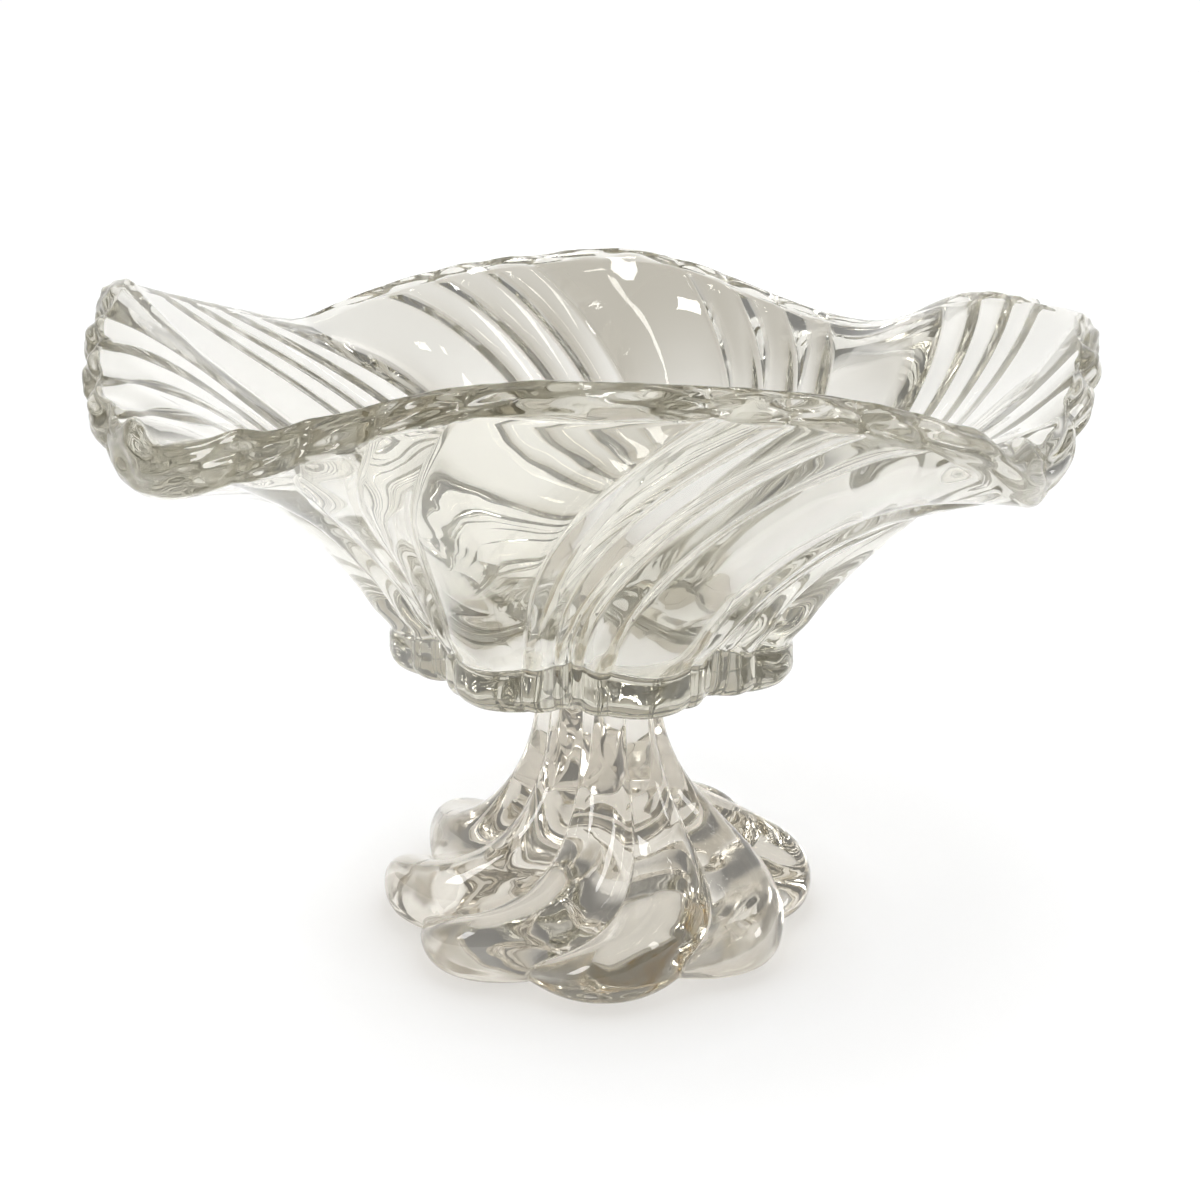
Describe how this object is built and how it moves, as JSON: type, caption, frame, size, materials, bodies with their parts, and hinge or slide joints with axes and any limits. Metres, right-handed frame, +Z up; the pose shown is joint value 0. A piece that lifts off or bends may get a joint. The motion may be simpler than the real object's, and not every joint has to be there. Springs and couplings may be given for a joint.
{
  "type": "footed centerpiece bowl",
  "caption": "Thick clear glass centerpiece bowl with swirled ribs and a ruffled flaring rim, bonded to a swirling lobed pedestal foot, for flowers or fruit on a table.",
  "frame": {"origin": "centre of the foot's underside, in the plane of the ground ring that the object stands on", "axes": "+Z up along the axis of the foot and bowl, -Y towards the front of the picture, +X to its right"},
  "size_m": [0.2948, 0.2948, 0.2043],
  "materials": {
    "bowl_glass": "fire-polished clear pressed glass, faint grey-green in the thick parts",
    "foot_glass": "fire-polished clear pressed glass, faint warm grey-green, ground ring underneath",
    "clear_adhesive": "clear cured adhesive, faintly amber"
  },
  "bodies": {
    "root": {"pedestal": "foot_glass", "adhesive_film": "clear_adhesive", "bowl": "bowl_glass"}
  },
  "joints": []
}
